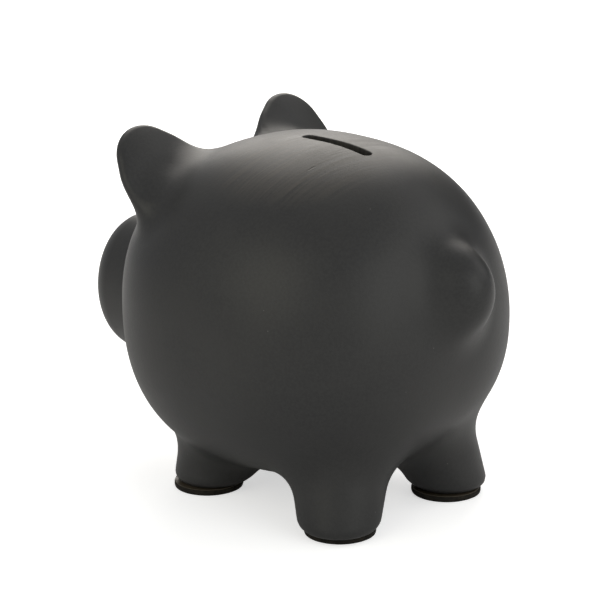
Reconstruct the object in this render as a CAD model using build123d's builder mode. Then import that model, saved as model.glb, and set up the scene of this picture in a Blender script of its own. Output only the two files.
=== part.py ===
from build123d import *
import os
from math import radians, sin

# Ceramic piggy bank with a rubber belly stopper and foam foot pads, in millimetres.
# The nose points along -Y, the pig's left side is +X, and +Z is up.
# The origin is on the floor, under the middle of the whole pig.

# Body: an egg whose lengthwise and crosswise outlines are superellipses.
body_y = 13.0
body_z = 76.75
body_half_length = 72.95
body_half_width = 70.95
body_half_height_top = 68.9
body_half_height_bottom = 65.3
body_fullness = 2.45
body_droop = 0.037
width_change_to_tail = -0.063
top_change_to_tail = 0.037
bottom_change_to_tail = -0.140
back_roundness = 2.16
back_roundness_to_tail = -0.235
belly_roundness = 2.28
wall = 5.0
ring_angles = (-82, -72, -60, -45, -30, -15, 0, 15, 30, 45, 60, 72, 82)

# Snout: a flat-ended oval drum with a soft rim, a little wider at its root.
snout_front_y = -99.1
snout_z = 69.45
snout_half_width = 23.9
snout_half_height = 28.3
snout_rim_radius = 12.5
snout_flare = 5.0
snout_length = 68.0

# Ears: rounded leaves, domed on both faces, that lean forwards and outwards.
ear_center = Vector(40.4, -37.0, 133.0)
ear_axis = Vector(0.33, -0.52, 0.79)
ear_face = Vector(-0.10, 0.85, 0.52)
ear_dome_radius = 40.0
ear_half_thickness = 6.4
ear_rim_radius = 3.5

# Tail: a plain domed boss.
tail_y = 84.9
tail_z = 96.8
tail_depth = 14.1
tail_half_height = 18.8

# Legs: short tapered stubs that splay outwards.
front_leg_x = 25.4
front_leg_y = -23.8
front_leg_splay_y = -0.14
rear_leg_x = 33.3
rear_leg_y = 52.4
rear_leg_splay_y = 0.25
leg_splay_x = 0.32
leg_foot_radius = 15.8
leg_root_radius = 23.0
leg_root_z = 46.0
leg_edge_radius = 4.0
sole_z = 2.5

# Foot pads: foam discs on a thin adhesive film, each stuck on a little off centre.
pad_radius = 14.1
pad_thickness = 2.3
pad_edge = 0.3
film_radius = 13.8

# Coin slot, lengthwise on the back.
slot_x = 1.1
slot_y = 23.3
slot_length = 34.0
slot_width = 5.0
slot_corner_radius = 2.0
slot_floor_z = 120.0

# Belly hole with a flat seat around it.
hole_y = 7.0
hole_radius = 13.5
seat_z = 13.8
seat_radius = 16.6

# Rubber stopper: a flange and finger grip below the seat, a ribbed cup above it.
stopper_fit = 0.05
flange_top_z = seat_z - 0.1
flange_radius = 16.2
flange_thickness = 2.2
flange_edge = 0.7
neck_radius = hole_radius - 1.0
neck_length = 7.2
rib_width = 1.2
rib_heights = (2.0, 5.2)
cup_radius = 9.6
cup_depth = 6.4
grip_length = 17.0
grip_width = 4.4
grip_height = 3.2
grip_edge = 1.4

# Radii where the parts of the casting run into each other.
snout_blend = 10.0
ear_blend = 8.0
tail_blend = 5.0
leg_blend = 4.0


def corner_pull(roundness):
    """Give the control-point length that makes a quarter curve as full as this superellipse."""
    return (8 * 0.5 ** (1 / roundness) - 4) / 3


def body_ring(angle, inset):
    """Draw the body's cross-section at one station, drawn in by the inset."""
    station = sin(radians(angle))
    size = (1 - abs(station) ** body_fullness) ** (1 / body_fullness)
    y = (body_half_length - inset) * station
    half_width = (body_half_width * (1 + width_change_to_tail * station) - inset) * size
    top = (body_half_height_top * (1 + top_change_to_tail * station) - inset) * size
    bottom = (body_half_height_bottom * (1 + bottom_change_to_tail * station) - inset) * size
    middle_z = body_z - body_droop * y
    back = corner_pull(max(2, back_roundness + back_roundness_to_tail * station))
    belly = corner_pull(belly_roundness)
    quarters = ((1, top, back), (-1, top, back), (-1, -bottom, belly), (1, -bottom, belly))
    with BuildSketch(Plane.XZ.offset(-body_y - y)) as ring:
        with BuildLine():
            for side, height, pull in quarters:
                width = side * half_width
                corners = ((width, 0), (width, pull * height), (pull * width, height), (0, height))
                Bezier(*[(corner_x, middle_z + corner_z) for corner_x, corner_z in corners])
        make_face()
    return ring.sketch


def body_pole(end, inset):
    """Give the point at the nose end (-1) or the tail end (1) of the body."""
    y = (body_half_length - inset) * end
    return Vertex(0, body_y + y, body_z - body_droop * y)


def egg(inset):
    """Make the solid inside the body's outline, drawn in by the inset."""
    rings = [body_ring(angle, inset) for angle in ring_angles]
    with BuildPart() as solid:
        loft([body_pole(-1, inset), *rings, body_pole(1, inset)])
    return solid.part


def drum(inset, rim_radius):
    """Make the snout's oval drum, drawn in by the inset."""
    with BuildPart() as solid:
        with BuildSketch(Plane.XZ.offset(-snout_front_y - inset)):
            with Locations((0, snout_z)):
                Ellipse(snout_half_width - inset, snout_half_height - inset)
        extrude(amount=-snout_length, taper=-snout_flare)
        fillet(solid.edges().group_by(Axis.Y)[0], rim_radius)
    return solid.part


def tail_boss():
    """Make the tail's domed boss."""
    with BuildPart() as solid:
        with BuildSketch(Plane.YZ):
            with Locations((tail_y, tail_z)):
                Ellipse(tail_depth, tail_half_height)
            with Locations((tail_y - tail_depth, tail_z)):
                Rectangle(2 * tail_depth, 3 * tail_half_height, mode=Mode.SUBTRACT)
        revolve(axis=Axis((0, tail_y, tail_z), (0, 0, 1)))
    return solid.part


def ear_leaf():
    """Make the pig's left ear: two domes back to back, with a rounded rim."""
    cut = Plane(ear_center, x_dir=ear_axis, z_dir=ear_axis.cross(ear_face))
    dome_center = ear_dome_radius - ear_half_thickness
    with BuildPart() as solid:
        with BuildSketch(cut) as lens:
            with Locations((0, -dome_center)):
                Circle(ear_dome_radius)
            with Locations((0, dome_center)):
                Circle(ear_dome_radius, mode=Mode.INTERSECT)
            fillet(lens.vertices(), ear_rim_radius)
            with Locations((-ear_dome_radius, 0)):
                Rectangle(2 * ear_dome_radius, 2 * ear_dome_radius, mode=Mode.SUBTRACT)
        revolve(axis=Axis(ear_center, cut.y_dir))
    return solid.part


def leg(x, y, splay_y, inset):
    """Make one splayed leg, drawn in by the inset."""
    height = leg_root_z - sole_z
    root_x = x - (leg_splay_x if x > 0 else -leg_splay_x) * height
    root_y = y - splay_y * height
    with BuildPart() as solid:
        with BuildSketch(Plane.XY.offset(sole_z + inset)):
            with Locations((x, y)):
                Circle(leg_foot_radius - inset)
        with BuildSketch(Plane.XY.offset(leg_root_z)):
            with Locations((root_x, root_y)):
                Circle(leg_root_radius - inset)
        loft()
        fillet(solid.edges().group_by(Axis.Z)[0], leg_edge_radius)
    return solid.part


def export(piece, name):
    """Label a finished piece and write its STEP file."""
    piece.label = name
    export_step(piece, f"parts/{name}.step")


# Each foot: where the leg stands, its lengthwise splay, and how far its pad is off centre.
feet = {
    "front_left": (front_leg_x, front_leg_y, front_leg_splay_y, (1.7, -0.6)),
    "front_right": (-front_leg_x, front_leg_y, front_leg_splay_y, (-0.6, 0.8)),
    "rear_left": (rear_leg_x, rear_leg_y, rear_leg_splay_y, (-2.6, -1.8)),
    "rear_right": (-rear_leg_x, rear_leg_y, rear_leg_splay_y, (2.2, 0.4)),
}

os.makedirs("parts", exist_ok=True)

# The casting: body, snout, ears, tail and legs in one hollow piece.
with BuildPart() as casting:
    add(egg(0))
    add(drum(0, snout_rim_radius))
    fillet(casting.edges(Select.NEW), snout_blend)
    add(ear_leaf())
    fillet(casting.edges(Select.NEW), ear_blend)
    add(ear_leaf().mirror(Plane.YZ))
    fillet(casting.edges(Select.NEW), ear_blend)
    add(tail_boss())
    fillet(casting.edges(Select.NEW), tail_blend)
    for x, y, splay_y, _ in feet.values():
        add(leg(x, y, splay_y, 0))
        fillet(casting.edges(Select.NEW), leg_blend)
    add(egg(wall), mode=Mode.SUBTRACT)
    add(drum(wall, snout_rim_radius - wall), mode=Mode.SUBTRACT)
    for x, y, splay_y, _ in feet.values():
        add(leg(x, y, splay_y, wall), mode=Mode.SUBTRACT)
    with BuildSketch(Plane.XY.offset(slot_floor_z)):
        with Locations((slot_x, slot_y)):
            RectangleRounded(slot_width, slot_length, slot_corner_radius)
    extrude(amount=body_half_height_top, mode=Mode.SUBTRACT)
    with BuildSketch():
        with Locations((0, hole_y)):
            Circle(hole_radius)
    extrude(amount=seat_z + 2 * wall, mode=Mode.SUBTRACT)
    with BuildSketch():
        with Locations((0, hole_y)):
            Circle(seat_radius)
    extrude(amount=seat_z, mode=Mode.SUBTRACT)
export(casting.part, "ceramic_casting")

# The stopper: flange, neck, sealing ribs, hollow cup and finger grip.
with BuildPart() as stopper:
    with Locations((0, hole_y, flange_top_z - flange_thickness)):
        Cylinder(flange_radius, flange_thickness, align=(Align.CENTER, Align.CENTER, Align.MIN))
        fillet(stopper.edges().group_by(Axis.Z)[0], flange_edge)
    with Locations((0, hole_y, flange_top_z)):
        Cylinder(neck_radius, neck_length, align=(Align.CENTER, Align.CENTER, Align.MIN))
    with Locations(*[(0, hole_y, seat_z + height) for height in rib_heights]):
        Cylinder(hole_radius - stopper_fit, rib_width)
    with Locations((0, hole_y, flange_top_z + neck_length - cup_depth)):
        Cylinder(cup_radius, cup_depth, align=(Align.CENTER, Align.CENTER, Align.MIN), mode=Mode.SUBTRACT)
    with BuildSketch(Plane.XY.offset(flange_top_z - flange_thickness)):
        with Locations((0, hole_y)):
            SlotOverall(grip_length, grip_width)
    extrude(amount=-grip_height)
    fillet(stopper.edges().group_by(Axis.Z)[0], grip_edge)
export(stopper.part, "belly_stopper")

# The pads and their adhesive films.
for foot, (x, y, _, (pad_x, pad_y)) in feet.items():
    with BuildPart() as pad:
        with Locations((x + pad_x, y + pad_y, 0)):
            Cylinder(pad_radius, pad_thickness, align=(Align.CENTER, Align.CENTER, Align.MIN))
        chamfer(pad.edges().filter_by(GeomType.CIRCLE), pad_edge)
    export(pad.part, f"foot_pad_{foot}")
    with BuildPart() as film:
        with Locations((x + pad_x, y + pad_y, pad_thickness)):
            Cylinder(film_radius, sole_z - pad_thickness, align=(Align.CENTER, Align.CENTER, Align.MIN))
    export(film.part, f"pad_film_{foot}")
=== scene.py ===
from math import cos, pi, radians, sin, tau

import bmesh
import bpy
import numpy as np
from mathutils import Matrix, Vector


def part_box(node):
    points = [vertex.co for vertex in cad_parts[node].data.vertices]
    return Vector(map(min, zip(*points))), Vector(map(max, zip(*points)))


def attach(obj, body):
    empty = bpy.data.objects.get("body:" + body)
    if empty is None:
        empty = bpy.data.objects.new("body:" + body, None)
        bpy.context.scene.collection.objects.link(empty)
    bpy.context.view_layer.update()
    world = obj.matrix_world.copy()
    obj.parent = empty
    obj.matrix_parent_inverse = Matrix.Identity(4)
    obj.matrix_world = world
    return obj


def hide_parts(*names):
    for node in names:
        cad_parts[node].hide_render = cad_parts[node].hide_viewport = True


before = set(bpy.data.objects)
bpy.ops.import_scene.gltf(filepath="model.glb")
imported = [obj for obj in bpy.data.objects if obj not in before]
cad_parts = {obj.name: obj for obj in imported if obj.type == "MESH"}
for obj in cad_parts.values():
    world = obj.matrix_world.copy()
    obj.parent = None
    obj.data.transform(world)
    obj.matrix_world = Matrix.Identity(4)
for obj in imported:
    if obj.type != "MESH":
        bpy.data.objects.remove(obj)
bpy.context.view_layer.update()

import openvdb
from mathutils import Vector

# Lengths below are in millimetres in the frame's own axes, and become metres when a mesh is made.
METRES = 0.001

# Body: an egg whose lengthwise and crosswise outlines are superellipses.
BODY_Y = 13.0
BODY_Z = 76.75
BODY_HALF_LENGTH = 72.95
BODY_HALF_WIDTH = 70.95
BODY_HALF_HEIGHT_TOP = 68.9
BODY_HALF_HEIGHT_BOTTOM = 65.3
BODY_FULLNESS = 2.45
BODY_DROOP = 0.037
WIDTH_CHANGE_TO_TAIL = -0.063
TOP_CHANGE_TO_TAIL = 0.037
BOTTOM_CHANGE_TO_TAIL = -0.140
BACK_ROUNDNESS = 2.16
BACK_ROUNDNESS_TO_TAIL = -0.235
BELLY_ROUNDNESS = 2.28
WAIST_SOFTNESS = 4.0
WALL = 5.0

# Snout: a flat-ended oval drum with a soft rim and two nostril dimples.
SNOUT_FRONT_Y = -99.05
SNOUT_ROOT_Y = -27.7
SNOUT_Z = 69.45
SNOUT_HALF_WIDTH = 23.8
SNOUT_HALF_HEIGHT = 28.3
SNOUT_RIM = 13.5
SNOUT_FLARE = 0.092
NOSTRIL_X = 8.0
NOSTRIL_SIZE = (3.8, 2.6, 5.4)

# Ears: leaves with a wide root, a narrower tip and a round rim, domed on both faces.
EAR_ROOT = np.array([38.8, -34.7, 129.7])
EAR_TIP = np.array([41.0, -38.3, 134.9])
EAR_ROOT_RADIUS = 20.1
EAR_TIP_RADIUS = 16.2
EAR_RIM = 1.8
EAR_DOME = 2.9
EAR_TURN = 0.178

# Tail: a plain domed boss.
TAIL_Y = 84.2
TAIL_Z = 96.8
TAIL_SIZE = (12.2, 14.0, 15.8)

# Legs: tapered stubs that lean inwards as they rise. Each foot stands at x, y and leans by the slopes.
SOLE_Z = 2.5
LEG_TOP_Z = 60.0
LEG_FOOT_RADIUS = 15.8
LEG_TAPER = 0.168
LEG_EDGE = 4.1
FEET = {
    "front_left": (25.4, -23.8, 0.319, -0.138),
    "front_right": (-25.4, -23.8, -0.319, -0.138),
    "rear_left": (33.3, 52.4, 0.319, 0.253),
    "rear_right": (-33.3, 52.4, -0.319, 0.253),
}

# Slot, belly hole and seat.
SLOT_X = 1.1
SLOT_Y = 23.3
SLOT_HALF_LENGTH = 17.0
SLOT_HALF_WIDTH = 2.5
SLOT_CORNER = 2.2
HOLE_Y = 7.0
HOLE_RADIUS = 13.5
SEAT_RADIUS = 16.6
SEAT_Z = 13.8

# How far each joint in the clay is smoothed.
LEG_BLEND = 11.6
SNOUT_BLEND = 14.0
EAR_BLEND = 13.5
TAIL_BLEND = 14.0
SLOT_SOFTNESS = 0.5
HOLE_SOFTNESS = 1.2
NOSTRIL_SOFTNESS = 3.0
CAVITY_BLEND = 8.0

# How deep into the clay the coat reaches through the slot and the hole.
COAT_REACH = 3.6

# Foot pads: (inset from the edge, share of the height) up one side, starting and ending at the centre.
TO_CENTRE = 99
PAD_SIDE = ((0.5, 0), (0.18, 0.08), (0.02, 0.3), (0, 0.55), (0.06, 0.8), (0.25, 0.95), (0.6, 1))
PAD_OUTLINE = ((TO_CENTRE, 0), *PAD_SIDE, (TO_CENTRE, 1))
PAD_SEGMENTS = 160

# Belly stopper. Each part's edges are rounded, and smoothed where it meets the others.
STOPPER_RADIUS = 16.2
STOPPER_FLANGE_TOP = 13.7
STOPPER_FLANGE = 2.2
STOPPER_FLANGE_EDGE = 0.7
STOPPER_NECK_RADIUS = 12.5
STOPPER_NECK = 7.2
STOPPER_NECK_EDGE = 0.6
STOPPER_NECK_BLEND = 0.6
STOPPER_OVERLAP = 0.8
STOPPER_RIBS = (15.8, 19.0)
STOPPER_RIB_RADIUS = 13.4
STOPPER_RIB_FLATNESS = 1.2
STOPPER_RIB_BLEND = 0.5
STOPPER_CUP_RADIUS = 9.6
STOPPER_CUP = 6.4
STOPPER_CUP_OPENING = 6
STOPPER_CUP_EDGE = 1.0
STOPPER_CUP_BLEND = 0.8
STOPPER_GRIP = (17.0, 4.4, 3.2)
STOPPER_GRIP_CORNER = 1.4
STOPPER_GRIP_EDGE = 1.0
STOPPER_GRIP_BLEND = 0.9
STOPPER_GRIP_RIBBING = 0.22
STOPPER_GRIP_RIB_SPACING = 1.9
STOPPER_GROOVE_RADIUS = 13.2
STOPPER_GROOVE = 0.55
STOPPER_GROOVE_BLEND = 0.5

# Meshing: the grid's step and its margin round the piece, and how a surface is followed.
CASTING_STEP = 1.7
CASTING_MARGIN = 6
STOPPER_STEP = 0.32
STOPPER_MARGIN = 1
BLOCK = 4
NEAR_BLOCKS = 1.6
BLOCKS_AT_ONCE = 4000
NUDGE = 0.05
SURFACE_ROUNDS = 3
LEAST_STEEPNESS = 0.05
LONGEST_MOVE = 1

# How far from each feature the casting's mesh is refined, in the order of the rounds.
SLOT_REACHES = (2.6, 1.6, 0.8)
SLOT_RIM_DEPTH = 1.2
HOLE_REACH = 2.0
EAR_REACH = 1.8
EAR_DEPTH = 1
EAR_RIM_REACH = 2.2

# Wiped patch, wipe marks and one small nick in the coat, in metres. Turns are in degrees about the
# upright axis.
WIPE_TURN = -12.0
WIPED = (0.018, 0.021, 0.140)
WIPED_SIZES = (0.050, 0.038, 0.017)
NICK = (0.0247, 0.0318, 0.1406)
NICK_SIZES = (0.0024, 0.0005, 0.0024)

# The camera and the room, in metres and degrees. Azimuth 0 is the -Y side and 90 the +X side.
# The flag and the softboxes are at azimuths counted from the camera's.
VIEW_TARGET = (0.00623, 0.00788, 0.07992)
VIEW_AZIMUTH = 132.840
VIEW_ELEVATION = 16.417
VIEW_DISTANCE = 0.99454
VIEW_ROLL = -0.532
VIEW_LENS = 150.28
STUDIO_RADIUS = 1.5
AMBIENT = 0.5
AMBIENT_TINT = (0.97, 0.98, 1.0, 1)
FLAG = (148, 4)
FLAG_EDGES = (0.84, 0.97)
FLAGGED = 0.05
FLOOR_REACH = 30
FLOOR_GLOW = 0.57

# Softboxes: azimuth, elevation, width, height, radiance and tint.
SOFTBOXES = {
    "back_softbox": (178, 36, 1.0, 1.5, 2.6, (1.0, 0.95, 0.88)),
    "side_softbox": (98, 34, 1.1, 0.9, 0.8, (1.0, 0.98, 0.93)),
    "right_softbox": (45, 22, 1.1, 1.1, 1.2, (1.0, 1.0, 0.95)),
    "left_softbox": (-45, 27, 1.1, 1.1, 1.2, (1.0, 0.97, 0.80)),
}


def join(a, b, reach):
    """Smooth union of two distance fields."""
    overlap = np.maximum(reach - np.abs(a - b), 0) / reach
    return np.minimum(a, b) - overlap ** 2 * reach / 4


def cut(a, b, reach):
    """Field a with field b smoothly taken away."""
    return -join(-a, b, reach)


def rounded(side, end, radius):
    """Distance to a solid from its side and end distances, with its edges rounded."""
    side = side + radius
    end = end + radius
    corner = np.hypot(np.maximum(side, 0), np.maximum(end, 0))
    return corner + np.minimum(np.maximum(side, end), 0) - radius


def oval(u, v, half_u, half_v):
    """Distance to an oval outline."""
    size = np.hypot(u / half_u, v / half_v)
    slope = np.hypot(u / half_u ** 2, v / half_v ** 2) + 1e-9
    return size * (size - 1) / slope


def ellipsoid(p, centre, half_sizes):
    """Distance to an ellipsoid."""
    q = p - np.array(centre)
    size = np.linalg.norm(q / half_sizes, axis=1)
    slope = np.linalg.norm(q / np.square(half_sizes), axis=1) + 1e-9
    return size * (size - 1) / slope


def body(p, inset):
    """Distance to the egg-shaped body, drawn in by the inset."""
    y = p[:, 1] - BODY_Y
    z = p[:, 2] - BODY_Z + BODY_DROOP * y
    station = y / (BODY_HALF_LENGTH - inset)
    upper = 1 / (1 + np.exp(-z / WAIST_SOFTNESS))
    half_width = BODY_HALF_WIDTH * (1 + WIDTH_CHANGE_TO_TAIL * station) - inset
    top = BODY_HALF_HEIGHT_TOP * (1 + TOP_CHANGE_TO_TAIL * station) - inset
    bottom = BODY_HALF_HEIGHT_BOTTOM * (1 + BOTTOM_CHANGE_TO_TAIL * station) - inset
    half_height = top * upper + bottom * (1 - upper)
    back = np.maximum(BACK_ROUNDNESS + BACK_ROUNDNESS_TO_TAIL * np.clip(station, -1, 1), 2)
    roundness = back * upper + BELLY_ROUNDNESS * (1 - upper)
    ring = np.abs(p[:, 0] / half_width) ** roundness + np.abs(z / half_height) ** roundness
    size = ring ** (BODY_FULLNESS / roundness) + np.abs(station) ** BODY_FULLNESS
    size = np.maximum(size, 1e-9) ** (1 / BODY_FULLNESS)
    reach = np.sqrt(p[:, 0] ** 2 + y ** 2 + z ** 2)
    return (size - 1) * reach / size


def leg(p, foot, inset):
    """Distance to one leg, drawn in by the inset."""
    x, y, lean_x, lean_y = foot
    height = p[:, 2] - SOLE_Z
    spread = np.hypot(p[:, 0] - x + lean_x * height, p[:, 1] - y + lean_y * height)
    side = spread - LEG_FOOT_RADIUS - LEG_TAPER * height + inset
    middle = (SOLE_Z + LEG_TOP_Z) / 2
    end = np.abs(p[:, 2] - middle) - (LEG_TOP_Z - SOLE_Z) / 2 + inset
    return rounded(side, end, LEG_EDGE)


def snout(p, inset):
    """Distance to the snout's drum, drawn in by the inset."""
    behind = np.maximum(p[:, 1] - SNOUT_FRONT_Y, 0)
    grow = SNOUT_FLARE * behind
    side = oval(p[:, 0], p[:, 2] - SNOUT_Z, SNOUT_HALF_WIDTH + grow, SNOUT_HALF_HEIGHT + grow) + inset
    middle = (SNOUT_FRONT_Y + SNOUT_ROOT_Y) / 2
    end = np.abs(p[:, 1] - middle) - (SNOUT_ROOT_Y - SNOUT_FRONT_Y) / 2 + inset
    return rounded(side, end, SNOUT_RIM)


def ear_frame(p):
    """Distances along, across and through the ear on the point's own side, and the ear's length."""
    q = np.column_stack([np.abs(p[:, 0]), p[:, 1], p[:, 2]]) - EAR_ROOT
    length = np.linalg.norm(EAR_TIP - EAR_ROOT)
    axis = (EAR_TIP - EAR_ROOT) / length
    back = np.array([0.0, 1.0, 0.0])
    back = back - (back @ axis) * axis
    back = back / np.linalg.norm(back)
    back = cos(EAR_TURN) * back + sin(EAR_TURN) * np.cross(axis, back)
    return q @ axis, q @ np.cross(axis, back), q @ back, length


def ear(p):
    """Distance to the two ears."""
    along, across, through, length = ear_frame(p)
    across = np.abs(across)
    slope = (EAR_ROOT_RADIUS - EAR_TIP_RADIUS) / length
    rise = np.sqrt(1 - slope ** 2)
    where = rise * along - slope * across
    root = np.hypot(across, along) - EAR_ROOT_RADIUS
    tip = np.hypot(across, along - length) - EAR_TIP_RADIUS
    flank = across * rise + along * slope - EAR_ROOT_RADIUS
    outline = np.where(where < 0, root, np.where(where > rise * length, tip, flank))
    crown = 1 - (1 - np.clip(-outline / EAR_TIP_RADIUS, 0, 1)) ** 2
    thickness = EAR_RIM + EAR_DOME * crown
    return rounded(outline, np.abs(through) - thickness, EAR_RIM)


def slot_wall(p):
    """Distance to the coin slot's upright cut."""
    across = np.abs(p[:, 0] - SLOT_X) - SLOT_HALF_WIDTH
    along = np.abs(p[:, 1] - SLOT_Y) - SLOT_HALF_LENGTH
    return np.maximum(rounded(across, along, SLOT_CORNER), BODY_Z - p[:, 2])


def belly_hole(p):
    """Distance to the stopper's hole with its flat seat."""
    spread = np.hypot(p[:, 0], p[:, 1] - HOLE_Y)
    hole = np.maximum(spread - HOLE_RADIUS, p[:, 2] - BODY_Z)
    seat = np.maximum(spread - SEAT_RADIUS, p[:, 2] - SEAT_Z)
    return np.minimum(hole, seat)


def outside(p):
    """Distance to the casting's outer surface, before the slot and the hole."""
    field = body(p, 0)
    for foot in FEET.values():
        field = join(field, leg(p, foot, 0), LEG_BLEND)
    field = join(field, snout(p, 0), SNOUT_BLEND)
    field = join(field, ear(p), EAR_BLEND)
    field = join(field, ellipsoid(p, (0, TAIL_Y, TAIL_Z), TAIL_SIZE), TAIL_BLEND)
    for x in (-NOSTRIL_X, NOSTRIL_X):
        field = cut(field, ellipsoid(p, (x, SNOUT_FRONT_Y, SNOUT_Z), NOSTRIL_SIZE), NOSTRIL_SOFTNESS)
    return field


def cavity(p):
    """Distance to the coin chamber, which runs on into the snout and the legs."""
    field = join(body(p, WALL), snout(p, WALL), CAVITY_BLEND)
    for foot in FEET.values():
        field = join(field, leg(p, foot, WALL), CAVITY_BLEND)
    return field


def casting(p):
    """Distance to the clay itself: inside the outer surface, outside the cavity, slot and hole."""
    field = np.maximum(outside(p), -cavity(p))
    field = cut(field, slot_wall(p), SLOT_SOFTNESS)
    return cut(field, belly_hole(p), HOLE_SOFTNESS)


def sampled(distance, low, high, step):
    """Sample a distance field on a grid, in full only in the blocks that its surface may cross."""
    low = np.array(low, float)
    blocks = np.ceil((np.array(high) - low) / (step * BLOCK)).astype(int)
    grid = np.empty(blocks * BLOCK, np.float32)
    corners = np.stack(np.meshgrid(*[np.arange(n) for n in blocks], indexing="ij"), -1).reshape(-1, 3)
    rough = distance(low + (corners + 0.5) * BLOCK * step - step / 2)
    near = np.abs(rough) < NEAR_BLOCKS * BLOCK * step
    view = grid.reshape(blocks[0], BLOCK, blocks[1], BLOCK, blocks[2], BLOCK)
    view[:] = np.sign(rough).reshape(blocks)[:, None, :, None, :, None] * BLOCK * step
    local = np.stack(np.meshgrid(*[np.arange(BLOCK)] * 3, indexing="ij"), -1).reshape(-1, 3)
    chosen = corners[near]
    for part in np.array_split(chosen, max(1, len(chosen) // BLOCKS_AT_ONCE)):
        points = low + (part[:, None, :] * BLOCK + local[None]) * step
        values = distance(points.reshape(-1, 3)).reshape(-1, BLOCK, BLOCK, BLOCK)
        view[part[:, 0], :, part[:, 1], :, part[:, 2], :] = values
    return grid


def change_across(distance, points):
    """How much the field changes over two nudges along each axis, centred on each point."""
    change = np.empty_like(points)
    for k in range(3):
        step = np.zeros(3)
        step[k] = NUDGE
        change[:, k] = distance(points + step) - distance(points - step)
    return change


def onto_surface(distance, points):
    """Move points along the field's slope until they lie on its surface."""
    for _ in range(SURFACE_ROUNDS):
        slope = change_across(distance, points) / (2 * NUDGE)
        steep = np.maximum((slope ** 2).sum(1), LEAST_STEEPNESS)
        move = distance(points)[:, None] * slope / steep[:, None]
        points = points - np.clip(move, -LONGEST_MOVE, LONGEST_MOVE)
    return points


def surface_normals(distance, points):
    """Unit normals of the field at each point."""
    change = change_across(distance, points)
    return change / (np.linalg.norm(change, axis=1, keepdims=True) + 1e-12)


def points_of(mesh):
    """A bmesh's vertices in millimetres."""
    return np.array([v.co for v in mesh.verts]) / METRES


def place(mesh, points):
    """Put a bmesh's vertices at points given in millimetres."""
    for vertex, point in zip(mesh.verts, points * METRES):
        vertex.co = point


def refine(mesh, distance, wanted):
    """Split the faces whose corners are all wanted, and lay the new points on the surface."""
    near = wanted(points_of(mesh))
    mesh.verts.ensure_lookup_table()
    edges = [e for e in mesh.edges if near[e.verts[0].index] and near[e.verts[1].index]]
    bmesh.ops.subdivide_edges(mesh, edges=edges, cuts=1, use_grid_fill=True)
    mesh.verts.index_update()
    place(mesh, onto_surface(distance, points_of(mesh)))


def in_scene(name, data):
    """Make an object from its data and put it in the scene."""
    thing = bpy.data.objects.new(name, data)
    bpy.context.scene.collection.objects.link(thing)
    return thing


def moulded(name, distance, box, margin, step, refinements=()):
    """Make one closed mesh object from a distance field sampled over a box in metres."""
    low, high = [edge / METRES for edge in box]
    low = low - Vector((margin,) * 3)
    high = high + Vector((margin,) * 3)
    volume = openvdb.FloatGrid(step * 4)
    volume.copyFromArray(sampled(distance, low, high, step))
    corners, quads = volume.convertToQuads(isovalue=0)
    points = onto_surface(distance, np.array(low) + corners.astype(float) * step)
    data = bpy.data.meshes.new(name)
    data.from_pydata((points * METRES).tolist(), [], quads[:, ::-1].tolist())
    mesh = bmesh.new()
    mesh.from_mesh(data)
    for wanted in refinements:
        refine(mesh, distance, wanted)
    bmesh.ops.recalc_face_normals(mesh, faces=mesh.faces)
    mesh.to_mesh(data)
    mesh.free()
    data.shade_smooth()
    flat = np.empty(len(data.vertices) * 3, np.float32)
    data.vertices.foreach_get("co", flat)
    normals = surface_normals(distance, flat.reshape(-1, 3).astype(float) / METRES)
    data.normals_split_custom_set_from_vertices(normals.tolist())
    return in_scene(name, data)


def turned(name, outline, centre, wobble):
    """Turn a closed outline of (radius, height) points about an upright axis, in millimetres."""
    mesh = bmesh.new()
    rings = []
    for radius, height in outline:
        if radius == 0:
            rings.append([mesh.verts.new((centre[0], centre[1], height))])
            continue
        ring = []
        for k in range(PAD_SEGMENTS):
            turn = tau * k / PAD_SEGMENTS
            r = radius * (1 + wobble(turn))
            ring.append(mesh.verts.new((centre[0] + r * cos(turn), centre[1] + r * sin(turn), height)))
        rings.append(ring)
    for low, high in zip(rings, rings[1:]):
        for k in range(PAD_SEGMENTS):
            lower = [low[k % len(low)], low[(k + 1) % len(low)]]
            upper = [high[(k + 1) % len(high)], high[k % len(high)]]
            mesh.faces.new(list(dict.fromkeys(lower + upper)))
    bmesh.ops.scale(mesh, vec=(METRES,) * 3, verts=mesh.verts)
    bmesh.ops.recalc_face_normals(mesh, faces=mesh.faces)
    data = bpy.data.meshes.new(name)
    mesh.to_mesh(data)
    mesh.free()
    data.shade_smooth()
    return in_scene(name, data)


# ---------------------------------------------------------------- materials


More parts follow.
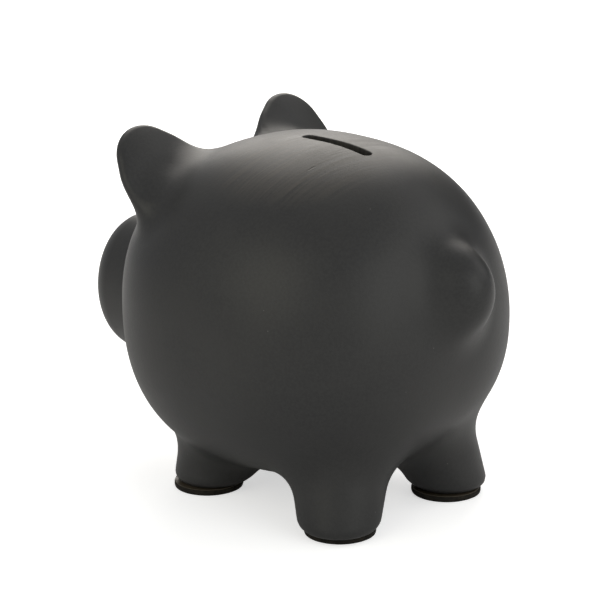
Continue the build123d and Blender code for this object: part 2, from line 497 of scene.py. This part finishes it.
class Surface:
    """A small helper for building one procedural material."""

    def __init__(self, name, **sockets):
        self.material = bpy.data.materials.new(name)
        self.material.use_nodes = True
        self.tree = self.material.node_tree
        self.shader = self.tree.nodes["Principled BSDF"]
        for socket, value in sockets.items():
            self.shader.inputs[socket.replace("_", " ")].default_value = value
        self.place = self.node("ShaderNodeTexCoord").outputs["Object"]

    def node(self, kind, inputs=None, **settings):
        """Add a node, with its inputs linked or set."""
        made = self.tree.nodes.new(kind)
        for key, value in settings.items():
            setattr(made, key, value)
        for key, value in (inputs or {}).items():
            if isinstance(value, bpy.types.NodeSocket):
                self.tree.links.new(value, made.inputs[key])
            else:
                made.inputs[key].default_value = value
        return made

    def noise(self, scale, detail, rough, where=None):
        """Noise with a scale in cells per metre."""
        inputs = {"Vector": where or self.place, "Scale": scale, "Detail": detail, "Roughness": rough}
        return self.node("ShaderNodeTexNoise", inputs).outputs["Fac"]

    def within(self, sizes, turn=0.0, centre=(0, 0, 0)):
        """Object coordinates seen from a point, turned about the upright axis and counted in sizes."""
        rotation = (0, 0, radians(turn))
        inputs = {"Vector": self.place, "Location": centre, "Rotation": rotation, "Scale": sizes}
        return self.node("ShaderNodeMapping", inputs, vector_type="TEXTURE").outputs["Vector"]

    def length(self, vector):
        """The length of a vector."""
        return self.node("ShaderNodeVectorMath", {0: vector}, operation="LENGTH").outputs["Value"]

    def span(self, value, low, high, to_low=0.0, to_high=1.0):
        """Map a range of a value onto another range, clamped."""
        inputs = {"Value": value, "From Min": low, "From Max": high, "To Min": to_low, "To Max": to_high}
        made = self.node("ShaderNodeMapRange", inputs, interpolation_type="SMOOTHSTEP")
        return made.outputs["Result"]

    def math(self, operation, a, b):
        """One sum on two values."""
        return self.node("ShaderNodeMath", {0: a, 1: b}, operation=operation).outputs["Value"]

    def mix(self, factor, a, b):
        """Mix two colours."""
        made = self.node("ShaderNodeMix", data_type="RGBA")
        for number, value in ((0, factor), (6, a), (7, b)):
            socket = made.inputs[number]
            if isinstance(value, bpy.types.NodeSocket):
                self.tree.links.new(value, socket)
            else:
                socket.default_value = value
        return made.outputs[2]

    def bump(self, height, distance, normal=None):
        """A bump of a depth in metres, on top of another where one is given."""
        inputs = {"Height": height, "Distance": distance, "Strength": 1.0}
        if normal:
            inputs["Normal"] = normal
        return self.node("ShaderNodeBump", inputs).outputs["Normal"]

    def use(self, **sockets):
        """Link outputs to the shader's sockets."""
        for socket, output in sockets.items():
            self.tree.links.new(output, self.shader.inputs[socket.replace("_", " ")])
        return self.material


def matte_black_coat():
    """The chalky charcoal coat: cloudy tone, fine grain, specks, and a dusty wiped patch on the back."""
    s = Surface("matte_black_coat", Specular_IOR_Level=0.42, IOR=1.45)
    clouds = s.noise(28, 3, 0.55)
    back = s.span(s.length(s.within(WIPED_SIZES, 0, WIPED)), 1.0, 0.45)
    patches = s.span(s.noise(30, 2, 0.5), 0.40, 0.60, 0.25, 1.0)
    lines = s.noise(1, 3, 0.6, s.within((0.045, 0.0017, 0.045), WIPE_TURN))
    wipe = s.math("MULTIPLY", s.math("SUBTRACT", lines, 0.5), s.math("MULTIPLY", back, patches))
    nick = s.span(s.length(s.within(NICK_SIZES, WIPE_TURN, NICK)), 1.0, 0.3)
    cells = s.node("ShaderNodeTexVoronoi", {"Vector": s.place, "Scale": 170.0})
    spot = s.span(cells.outputs["Distance"], 0.055, 0.02)
    chances = s.node("ShaderNodeSeparateColor", {"Color": cells.outputs["Color"]})
    chosen = s.span(chances.outputs["Red"], 0.70, 0.76)
    speck = s.math("MULTIPLY", spot, chosen)
    grain = s.noise(2600, 3, 0.6)
    pores = s.noise(850, 3, 0.6)
    colour = s.mix(s.span(clouds, 0.3, 0.7), (0.020, 0.020, 0.0203, 1), (0.026, 0.0257, 0.025, 1))
    colour = s.mix(s.span(pores, 0.3, 0.7, 0.0, 0.5), colour, (0.032, 0.032, 0.0315, 1))
    worn = s.math("MULTIPLY", back, s.span(lines, 0.35, 0.65, 0.08, 0.50))
    colour = s.mix(worn, colour, (0.080, 0.071, 0.058, 1))
    colour = s.mix(s.math("MULTIPLY", speck, 0.5), colour, (0.16, 0.155, 0.145, 1))
    roughness = s.math("ADD", s.span(clouds, 0.25, 0.75, 0.41, 0.47), s.math("MULTIPLY", wipe, 0.6))
    roughness = s.math("ADD", roughness, s.math("MULTIPLY", s.math("SUBTRACT", pores, 0.5), 0.12))
    normal = s.bump(s.noise(55, 2, 0.5), 0.00012)
    normal = s.bump(wipe, 0.00012, normal=normal)
    normal = s.bump(nick, -0.00010, normal=normal)
    normal = s.bump(pores, 0.00004, normal=normal)
    normal = s.bump(s.math("ADD", grain, speck), 0.000022, normal=normal)
    return s.use(Base_Color=colour, Roughness=roughness, Normal=normal)


def raw_clay():
    """The uncoated clay of the coin chamber."""
    s = Surface("raw_clay", Specular_IOR_Level=0.3)
    clouds = s.noise(40, 4, 0.6)
    colour = s.mix(clouds, (0.13, 0.115, 0.10, 1), (0.22, 0.20, 0.175, 1))
    roughness = s.span(clouds, 0.2, 0.8, 0.82, 0.95)
    normal = s.bump(s.noise(500, 4, 0.6), 0.00012)
    return s.use(Base_Color=colour, Roughness=roughness, Normal=normal)


def pad_foam():
    """Dense brown-black foam with fine closed cells."""
    s = Surface("pad_foam", Specular_IOR_Level=0.25)
    cells = s.node("ShaderNodeTexVoronoi", {"Vector": s.place, "Scale": 2400.0}).outputs["Distance"]
    dust = s.noise(420, 4, 0.65)
    colour = s.mix(s.span(dust, 0.35, 0.7), (0.010, 0.009, 0.0075, 1), (0.026, 0.022, 0.016, 1))
    roughness = s.span(cells, 0.1, 0.7, 0.86, 0.97)
    normal = s.bump(cells, 0.00010)
    normal = s.bump(dust, 0.00012, normal=normal)
    return s.use(Base_Color=colour, Roughness=roughness, Normal=normal)


def adhesive_film():
    """Thin amber adhesive, a little cloudy."""
    s = Surface("adhesive_film", Specular_IOR_Level=0.5)
    clouds = s.noise(300, 3, 0.6)
    colour = s.mix(clouds, (0.045, 0.036, 0.024, 1), (0.085, 0.068, 0.045, 1))
    roughness = s.span(clouds, 0.3, 0.7, 0.35, 0.55)
    return s.use(Base_Color=colour, Roughness=roughness, Normal=s.bump(clouds, 0.00003))


def stopper_rubber():
    """Soft black rubber with a faint moulding haze."""
    s = Surface("stopper_rubber", Specular_IOR_Level=0.45)
    haze = s.noise(120, 3, 0.6)
    grain = s.noise(3200, 2, 0.5)
    colour = s.mix(haze, (0.012, 0.012, 0.0125, 1), (0.024, 0.0235, 0.023, 1))
    roughness = s.span(haze, 0.3, 0.7, 0.42, 0.58)
    return s.use(Base_Color=colour, Roughness=roughness, Normal=s.bump(grain, 0.00002))


def pale_floor():
    """White studio paper that glows a little where the camera sees it, so its shadows stay soft."""
    s = Surface("pale_floor", Roughness=0.95, Specular_IOR_Level=0.0, Emission_Color=(1, 1, 1, 1))
    fibres = s.noise(60, 3, 0.5)
    colour = s.mix(fibres, (0.86, 0.86, 0.86, 1), (0.88, 0.88, 0.88, 1))
    seen = s.node("ShaderNodeLightPath").outputs["Is Camera Ray"]
    return s.use(Base_Color=colour, Emission_Strength=s.math("MULTIPLY", seen, FLOOR_GLOW))


# ---------------------------------------------------------------- the casting


def near_slot(p, reach):
    """Points within reach of the slot's wall."""
    return (np.abs(slot_wall(p)) < reach) & (p[:, 2] > BODY_Z)


def near_hole(p):
    """Points close to the belly hole or its seat."""
    return (np.abs(belly_hole(p)) < HOLE_REACH) & (p[:, 2] < BODY_Z)


def coarse_detail(p):
    """Points that the first round refines: the slot and the hole."""
    return near_slot(p, SLOT_REACHES[0]) | near_hole(p)


def fine_detail(p):
    """Points that the second round refines: the same, closer to the slot."""
    return near_slot(p, SLOT_REACHES[1]) | near_hole(p)


def slot_rim(p):
    """Points along the slot's edge on the outer surface."""
    return near_slot(p, SLOT_REACHES[2]) & (np.abs(outside(p)) < SLOT_RIM_DEPTH)


def near_ears(p):
    """Points on the ears' outer surface."""
    return (ear(p) < EAR_REACH) & (outside(p) > -EAR_DEPTH)


def ear_rims(p):
    """Points along the ears' rims."""
    _, _, through, _ = ear_frame(p)
    return near_ears(p) & (np.abs(through) < EAR_RIM_REACH)


def make_casting():
    """Make the clay piece, with the coat outside and raw clay inside."""
    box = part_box("ceramic_casting")
    refinements = (coarse_detail, fine_detail, slot_rim, near_ears, ear_rims)
    piece = moulded("casting", casting, box, CASTING_MARGIN, CASTING_STEP, refinements)
    piece.data.materials.append(matte_black_coat())
    piece.data.materials.append(raw_clay())
    centres = np.empty(len(piece.data.polygons) * 3, np.float32)
    piece.data.polygons.foreach_get("center", centres)
    inside = outside(centres.reshape(-1, 3).astype(float) / METRES) < -COAT_REACH
    piece.data.polygons.foreach_set("material_index", inside.astype(np.int32))
    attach(piece, "bank")
    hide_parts("ceramic_casting")


make_casting()


# ---------------------------------------------------------------- foot pads


def pad_wobble(turn):
    """The slightly uneven edge of a disc punched from sheet foam."""
    return 0.0030 * sin(3 * turn + 0.6) + 0.0022 * sin(7 * turn + 2.1) + 0.0012 * sin(19 * turn)


def make_pads():
    """Make the four foam pads, and dress the four films in place."""
    foam = pad_foam()
    film = adhesive_film()
    for corner in FEET:
        low, high = [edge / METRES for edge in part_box("foot_pad_" + corner)]
        radius = (high.x - low.x) / 2
        centre = (low + high) / 2
        outline = []
        for inset, height in PAD_OUTLINE:
            outline.append((max(radius - inset, 0), low.z + height * (high.z - low.z)))
        pad = turned("foam_pad_" + corner, outline, centre, pad_wobble)
        pad.data.materials.append(foam)
        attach(pad, "bank")
        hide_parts("foot_pad_" + corner)
        dress(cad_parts["pad_film_" + corner], film)


def dress(node, material):
    """Give a CAD node's object a material of this scene's."""
    if not node.material_slots:
        node.data.materials.append(material)
    for material_slot in node.material_slots:
        material_slot.material = material


make_pads()


# ---------------------------------------------------------------- belly stopper


def ring_band(p, radius, low, high, edge):
    """Distance to an upright round plug between two heights."""
    spread = np.hypot(p[:, 0], p[:, 1] - HOLE_Y)
    return rounded(spread - radius, np.abs(p[:, 2] - (low + high) / 2) - (high - low) / 2, edge)


def stopper(p):
    """Distance to the rubber stopper: flange, ribbed neck, cup and grip."""
    spread = np.hypot(p[:, 0], p[:, 1] - HOLE_Y)
    flange_top = STOPPER_FLANGE_TOP
    flange_low = flange_top - STOPPER_FLANGE
    neck_top = flange_top + STOPPER_NECK
    field = ring_band(p, STOPPER_RADIUS, flange_low, flange_top, STOPPER_FLANGE_EDGE)
    neck_low = flange_low + STOPPER_OVERLAP
    neck = ring_band(p, STOPPER_NECK_RADIUS, neck_low, neck_top, STOPPER_NECK_EDGE)
    bulge = STOPPER_RIB_RADIUS - STOPPER_NECK_RADIUS
    for height in STOPPER_RIBS:
        rise = (p[:, 2] - height) * STOPPER_RIB_FLATNESS
        neck = join(neck, np.hypot(spread - STOPPER_NECK_RADIUS, rise) - bulge, STOPPER_RIB_BLEND)
    field = join(field, neck, STOPPER_NECK_BLEND)
    cup_low, cup_high = neck_top - STOPPER_CUP, neck_top + STOPPER_CUP_OPENING
    cup = ring_band(p, STOPPER_CUP_RADIUS, cup_low, cup_high, STOPPER_CUP_EDGE)
    field = cut(field, cup, STOPPER_CUP_BLEND)
    length, width, height = STOPPER_GRIP
    along = np.abs(p[:, 0]) - length / 2
    across = np.abs(p[:, 1] - HOLE_Y) - width / 2
    ribbing = STOPPER_GRIP_RIBBING * np.cos(tau * p[:, 0] / STOPPER_GRIP_RIB_SPACING)
    plan = rounded(along, across + ribbing, STOPPER_GRIP_CORNER)
    middle = (flange_low - height + flange_low + STOPPER_OVERLAP) / 2
    end = np.abs(p[:, 2] - middle) - (height + STOPPER_OVERLAP) / 2
    field = join(field, rounded(plan, end, STOPPER_GRIP_EDGE), STOPPER_GRIP_BLEND)
    groove = np.hypot(spread - STOPPER_GROOVE_RADIUS, p[:, 2] - flange_low) - STOPPER_GROOVE
    return cut(field, groove, STOPPER_GROOVE_BLEND)


def make_stopper():
    """Make the rubber stopper."""
    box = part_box("belly_stopper")
    piece = moulded("rubber_stopper", stopper, box, STOPPER_MARGIN, STOPPER_STEP)
    piece.data.materials.append(stopper_rubber())
    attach(piece, "stopper")
    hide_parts("belly_stopper")


make_stopper()


# ---------------------------------------------------------------- studio


def make_floor():
    """Lay the studio's paper floor."""
    data = bpy.data.meshes.new("studio_floor")
    corners = [(FLOOR_REACH * x, FLOOR_REACH * y, 0) for x, y in ((-1, -1), (1, -1), (1, 1), (-1, 1))]
    data.from_pydata(corners, [], [(0, 1, 2, 3)])
    data.materials.append(pale_floor())
    floor = in_scene("studio_floor", data)


def aim(thing, target):
    """Turn a light or camera towards a point."""
    thing.rotation_euler = (Vector(target) - thing.location).to_track_quat("-Z", "Y").to_euler()


def softbox(name, azimuth, elevation, width, height, radiance, tint):
    """Add a soft light on the studio's sphere, aimed at the object."""
    light = bpy.data.lights.new(name, "AREA")
    light.shape = "RECTANGLE"
    light.size = width
    light.size_y = height
    light.energy = radiance * pi * width * height
    light.color = tint
    thing = in_scene(name, light)
    thing.location = Vector(VIEW_TARGET) + STUDIO_RADIUS * bearing(VIEW_AZIMUTH + azimuth, elevation)
    aim(thing, VIEW_TARGET)


def bearing(azimuth, elevation):
    """Unit vector towards an azimuth and elevation; azimuth 0 is the -Y side and 90 is the +X side."""
    a, e = radians(azimuth), radians(elevation)
    return Vector((sin(a) * cos(e), -cos(a) * cos(e), sin(e)))


def make_world():
    """Set even ambient light with a dark flag low behind the object, and a white backdrop."""
    world = bpy.data.worlds.new("studio")
    world.use_nodes = True
    bpy.context.scene.world = world
    tree = world.node_tree
    toward = tree.nodes.new("ShaderNodeVectorMath")
    toward.operation = "DOT_PRODUCT"
    toward.inputs[1].default_value = bearing(VIEW_AZIMUTH + FLAG[0], FLAG[1])
    tree.links.new(tree.nodes.new("ShaderNodeTexCoord").outputs["Generated"], toward.inputs[0])
    fade = tree.nodes.new("ShaderNodeMapRange")
    fade.interpolation_type = "SMOOTHSTEP"
    ends = (*FLAG_EDGES, AMBIENT, FLAGGED)
    for socket, value in zip(("From Min", "From Max", "To Min", "To Max"), ends):
        fade.inputs[socket].default_value = value
    tree.links.new(toward.outputs["Value"], fade.inputs["Value"])
    seen = tree.nodes.new("ShaderNodeLightPath").outputs["Is Camera Ray"]
    brighter = tree.nodes.new("ShaderNodeMath")
    brighter.operation = "MAXIMUM"
    tree.links.new(seen, brighter.inputs[0])
    tree.links.new(fade.outputs["Result"], brighter.inputs[1])
    tree.links.new(brighter.outputs["Value"], tree.nodes["Background"].inputs["Strength"])
    tree.nodes["Background"].inputs["Color"].default_value = AMBIENT_TINT


def make_camera():
    """Set the camera that the main view is taken from."""
    camera = in_scene("camera", bpy.data.cameras.new("camera"))
    camera.data.lens = VIEW_LENS
    camera.location = Vector(VIEW_TARGET) + VIEW_DISTANCE * bearing(VIEW_AZIMUTH, VIEW_ELEVATION)
    aim(camera, VIEW_TARGET)
    camera.rotation_euler.rotate_axis("Z", radians(VIEW_ROLL))
    camera.data.clip_start = 0.01
    bpy.context.scene.camera = camera


make_floor()
make_world()
make_camera()
for name, settings in SOFTBOXES.items():
    softbox(name, *settings)
bpy.context.scene.view_settings.view_transform = "Standard"
